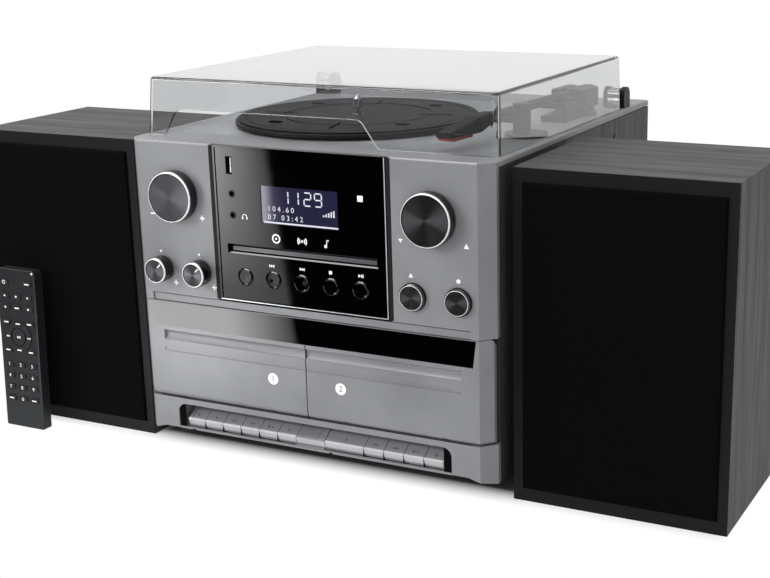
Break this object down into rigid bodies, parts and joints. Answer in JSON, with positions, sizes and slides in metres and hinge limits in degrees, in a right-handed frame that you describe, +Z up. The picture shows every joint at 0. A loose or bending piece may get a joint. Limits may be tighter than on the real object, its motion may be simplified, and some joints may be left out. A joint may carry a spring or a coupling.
{
  "type": "stereo music centre",
  "caption": "Stereo music centre with turntable under a clear cover, radio, disc slot and twin cassette decks, with bookshelf loudspeakers and a remote control.",
  "frame": {"origin": "middle of the floor area of the whole set, at the level of the shelf it stands on", "axes": "+X to the right along the front, +Y from the front to the back, +Z up"},
  "size_m": [0.6146, 0.3296, 0.2817],
  "materials": {
    "dark_grey_vinyl": "vinyl wrapped board, satin",
    "gunmetal": "metallic painted moulding, satin",
    "gloss_black": "polished",
    "black_plastic": "fine matt",
    "deck_grey": "metallic painted moulding, satin",
    "black_ash": "black ash vinyl",
    "grille_cloth": "black cloth",
    "smoked_clear": "clear acrylic, polished",
    "rubber_black": "matt",
    "spun_aluminium": "spun dark face with a bright bevel",
    "steel": "bright",
    "screen": "liquid crystal module behind glass",
    "red_plastic": "polished",
    "circuit_board": "solder mask",
    "key_silver": "metallic painted",
    "driver_black": "paper cone on a steel basket"
  },
  "bodies": {
    "housing": {"cabinet": "dark_grey_vinyl", "rear_panel": "black_plastic", "front_panel": "gunmetal", "key_surround": "gunmetal", "centre_panel": "gloss_black", "display": "screen", "socket_board": "steel", "cd_drive": "black_plastic", "main_board": "circuit_board", "turntable_deck": "deck_grey", "spindle": "steel", "arm_base": "black_plastic", "arm_rest": "black_plastic", "hinge_brackets": "black_plastic", "cassette_mechanisms": "steel", "rear_sockets": "black_plastic", "feet": "rubber_black", "speaker_cabinets": "black_ash", "speaker_drivers": "driver_black", "speaker_grilles": "grille_cloth", "remote_case": "black_plastic", "remote_keypad": "rubber_black"},
    "dust_cover_body": {"dust_cover": "smoked_clear"},
    "platter_body": {"platter": "black_plastic", "platter_mat": "rubber_black"},
    "arm_turret_body": {"arm_turret": "black_plastic"},
    "tonearm_body": {"tonearm": "black_plastic", "stylus": "red_plastic"},
    "cue_lever_body": {"cue_lever": "black_plastic"},
    "speed_switch_body": {"speed_switch": "black_plastic"},
    "volume_knob_body": {"volume_knob": "spun_aluminium"},
    "scroll_knob_body": {"scroll_knob": "spun_aluminium"},
    "bass_knob_body": {"bass_knob": "spun_aluminium"},
    "treble_knob_body": {"treble_knob": "spun_aluminium"},
    "eject_button_body": {"eject_button": "spun_aluminium"},
    "record_button_body": {"record_button": "spun_aluminium"},
    "menu_button_body": {"menu_button": "gloss_black"},
    "previous_button_body": {"previous_button": "gloss_black"},
    "next_button_body": {"next_button": "gloss_black"},
    "stop_button_body": {"stop_button": "gloss_black"},
    "play_button_body": {"play_button": "gloss_black"},
    "record_key_body": {"record_key": "key_silver"},
    "left_play_key_body": {"left_play_key": "key_silver"},
    "left_rewind_key_body": {"left_rewind_key": "key_silver"},
    "left_forward_key_body": {"left_forward_key": "key_silver"},
    "left_stop_key_body": {"left_stop_key": "key_silver"},
    "left_pause_key_body": {"left_pause_key": "key_silver"},
    "right_play_key_body": {"right_play_key": "key_silver"},
    "right_rewind_key_body": {"right_rewind_key": "key_silver"},
    "right_forward_key_body": {"right_forward_key": "key_silver"},
    "right_stop_key_body": {"right_stop_key": "key_silver"},
    "right_pause_key_body": {"right_pause_key": "key_silver"},
    "left_door_body": {"left_door": "gunmetal", "left_door_window": "gloss_black"},
    "right_door_body": {"right_door": "gunmetal", "right_door_window": "gloss_black"},
    "left_supply_reel_body": {"left_supply_reel": "black_plastic"},
    "left_take_up_reel_body": {"left_take_up_reel": "black_plastic"},
    "right_supply_reel_body": {"right_supply_reel": "black_plastic"},
    "right_take_up_reel_body": {"right_take_up_reel": "black_plastic"}
  },
  "joints": [
    {"name": "dust_cover_hinge", "type": "hinge", "parent": "housing", "child": "dust_cover_body", "pos_m": [0, 0.11815, 0.249], "axis": [-1, 0, 0], "range_deg": [0, 65]},
    {"name": "platter_spin", "type": "hinge", "parent": "housing", "child": "platter_body", "pos_m": [-0.024, -0.02335, 0.242], "axis": [0, 0, 1], "continuous": true},
    {"name": "arm_swing", "type": "hinge", "parent": "housing", "child": "arm_turret_body", "pos_m": [0.118, 0.06915, 0.246], "axis": [0, 0, -1], "range_deg": [0, 33]},
    {"name": "arm_lift", "type": "hinge", "parent": "arm_turret_body", "child": "tonearm_body", "pos_m": [0.118, 0.06915, 0.2568], "axis": [-0.9984, 0.0566, 0], "range_deg": [0, 6]},
    {"name": "cue_lever_turn", "type": "hinge", "parent": "housing", "child": "cue_lever_body", "pos_m": [0.124, 0.0372, 0.25295], "axis": [-1, 0, 0], "range_deg": [0, 60]},
    {"name": "speed_switch_slide", "type": "slide", "parent": "housing", "child": "speed_switch_body", "axis": [1, 0, 0], "range_m": [-0.007, 0.007]},
    {"name": "volume_knob_turn", "type": "hinge", "parent": "housing", "child": "volume_knob_body", "pos_m": [-0.104, -0.15285, 0.2], "axis": [0, 1, 0], "continuous": true},
    {"name": "scroll_knob_turn", "type": "hinge", "parent": "housing", "child": "scroll_knob_body", "pos_m": [0.104, -0.15285, 0.2], "axis": [0, 1, 0], "continuous": true},
    {"name": "bass_knob_turn", "type": "hinge", "parent": "housing", "child": "bass_knob_body", "pos_m": [-0.1204, -0.15285, 0.144], "axis": [0, 1, 0], "range_deg": [-140, 140]},
    {"name": "treble_knob_turn", "type": "hinge", "parent": "housing", "child": "treble_knob_body", "pos_m": [-0.0865, -0.15285, 0.144], "axis": [0, 1, 0], "range_deg": [-140, 140]},
    {"name": "eject_button_press", "type": "slide", "parent": "housing", "child": "eject_button_body", "axis": [0, 1, 0], "range_m": [0, 0.0015], "stiffness_N_per_m": 400, "springref_m": -0.001},
    {"name": "record_button_press", "type": "slide", "parent": "housing", "child": "record_button_body", "axis": [0, 1, 0], "range_m": [0, 0.0015], "stiffness_N_per_m": 400, "springref_m": -0.001},
    {"name": "menu_button_press", "type": "slide", "parent": "housing", "child": "menu_button_body", "axis": [0, 1, 0], "range_m": [0, 0.001], "stiffness_N_per_m": 400, "springref_m": -0.001},
    {"name": "previous_button_press", "type": "slide", "parent": "housing", "child": "previous_button_body", "axis": [0, 1, 0], "range_m": [0, 0.001], "stiffness_N_per_m": 400, "springref_m": -0.001},
    {"name": "next_button_press", "type": "slide", "parent": "housing", "child": "next_button_body", "axis": [0, 1, 0], "range_m": [0, 0.001], "stiffness_N_per_m": 400, "springref_m": -0.001},
    {"name": "stop_button_press", "type": "slide", "parent": "housing", "child": "stop_button_body", "axis": [0, 1, 0], "range_m": [0, 0.001], "stiffness_N_per_m": 400, "springref_m": -0.001},
    {"name": "play_button_press", "type": "slide", "parent": "housing", "child": "play_button_body", "axis": [0, 1, 0], "range_m": [0, 0.001], "stiffness_N_per_m": 400, "springref_m": -0.001},
    {"name": "record_key_press", "type": "hinge", "parent": "housing", "child": "record_key_body", "pos_m": [0, -0.11685, 0.038], "axis": [1, 0, 0], "range_deg": [0, 4.5], "stiffness_Nm_per_rad": 1, "springref_deg": -1.72},
    {"name": "left_play_key_press", "type": "hinge", "parent": "housing", "child": "left_play_key_body", "pos_m": [0, -0.11685, 0.038], "axis": [1, 0, 0], "range_deg": [0, 4.5], "stiffness_Nm_per_rad": 1, "springref_deg": -1.72},
    {"name": "left_rewind_key_press", "type": "hinge", "parent": "housing", "child": "left_rewind_key_body", "pos_m": [0, -0.11685, 0.038], "axis": [1, 0, 0], "range_deg": [0, 4.5], "stiffness_Nm_per_rad": 1, "springref_deg": -1.72},
    {"name": "left_forward_key_press", "type": "hinge", "parent": "housing", "child": "left_forward_key_body", "pos_m": [0, -0.11685, 0.038], "axis": [1, 0, 0], "range_deg": [0, 4.5], "stiffness_Nm_per_rad": 1, "springref_deg": -1.72},
    {"name": "left_stop_key_press", "type": "hinge", "parent": "housing", "child": "left_stop_key_body", "pos_m": [0, -0.11685, 0.038], "axis": [1, 0, 0], "range_deg": [0, 4.5], "stiffness_Nm_per_rad": 1, "springref_deg": -1.72},
    {"name": "left_pause_key_press", "type": "hinge", "parent": "housing", "child": "left_pause_key_body", "pos_m": [0, -0.11685, 0.038], "axis": [1, 0, 0], "range_deg": [0, 4.5], "stiffness_Nm_per_rad": 1, "springref_deg": -1.72},
    {"name": "right_play_key_press", "type": "hinge", "parent": "housing", "child": "right_play_key_body", "pos_m": [0, -0.11685, 0.038], "axis": [1, 0, 0], "range_deg": [0, 4.5], "stiffness_Nm_per_rad": 1, "springref_deg": -1.72},
    {"name": "right_rewind_key_press", "type": "hinge", "parent": "housing", "child": "right_rewind_key_body", "pos_m": [0, -0.11685, 0.038], "axis": [1, 0, 0], "range_deg": [0, 4.5], "stiffness_Nm_per_rad": 1, "springref_deg": -1.72},
    {"name": "right_forward_key_press", "type": "hinge", "parent": "housing", "child": "right_forward_key_body", "pos_m": [0, -0.11685, 0.038], "axis": [1, 0, 0], "range_deg": [0, 4.5], "stiffness_Nm_per_rad": 1, "springref_deg": -1.72},
    {"name": "right_stop_key_press", "type": "hinge", "parent": "housing", "child": "right_stop_key_body", "pos_m": [0, -0.11685, 0.038], "axis": [1, 0, 0], "range_deg": [0, 4.5], "stiffness_Nm_per_rad": 1, "springref_deg": -1.72},
    {"name": "right_pause_key_press", "type": "hinge", "parent": "housing", "child": "right_pause_key_body", "pos_m": [0, -0.11685, 0.038], "axis": [1, 0, 0], "range_deg": [0, 4.5], "stiffness_Nm_per_rad": 1, "springref_deg": -1.72},
    {"name": "left_door_hinge", "type": "hinge", "parent": "housing", "child": "left_door_body", "pos_m": [-0.071, -0.14885, 0.0465], "axis": [1, 0, 0], "range_deg": [0, 35]},
    {"name": "right_door_hinge", "type": "hinge", "parent": "housing", "child": "right_door_body", "pos_m": [0.071, -0.14885, 0.0465], "axis": [1, 0, 0], "range_deg": [0, 35]},
    {"name": "left_supply_reel_turn", "type": "hinge", "parent": "housing", "child": "left_supply_reel_body", "pos_m": [-0.09225, -0.13285, 0.082], "axis": [0, 1, 0], "continuous": true},
    {"name": "left_take_up_reel_turn", "type": "hinge", "parent": "housing", "child": "left_take_up_reel_body", "pos_m": [-0.04975, -0.13285, 0.082], "axis": [0, 1, 0], "continuous": true},
    {"name": "right_supply_reel_turn", "type": "hinge", "parent": "housing", "child": "right_supply_reel_body", "pos_m": [0.04975, -0.13285, 0.082], "axis": [0, 1, 0], "continuous": true},
    {"name": "right_take_up_reel_turn", "type": "hinge", "parent": "housing", "child": "right_take_up_reel_body", "pos_m": [0.09225, -0.13285, 0.082], "axis": [0, 1, 0], "continuous": true}
  ],
  "couplings": [
    {"joint": "cue_lever_turn", "follows": "arm_lift", "ratio": 10}
  ]
}
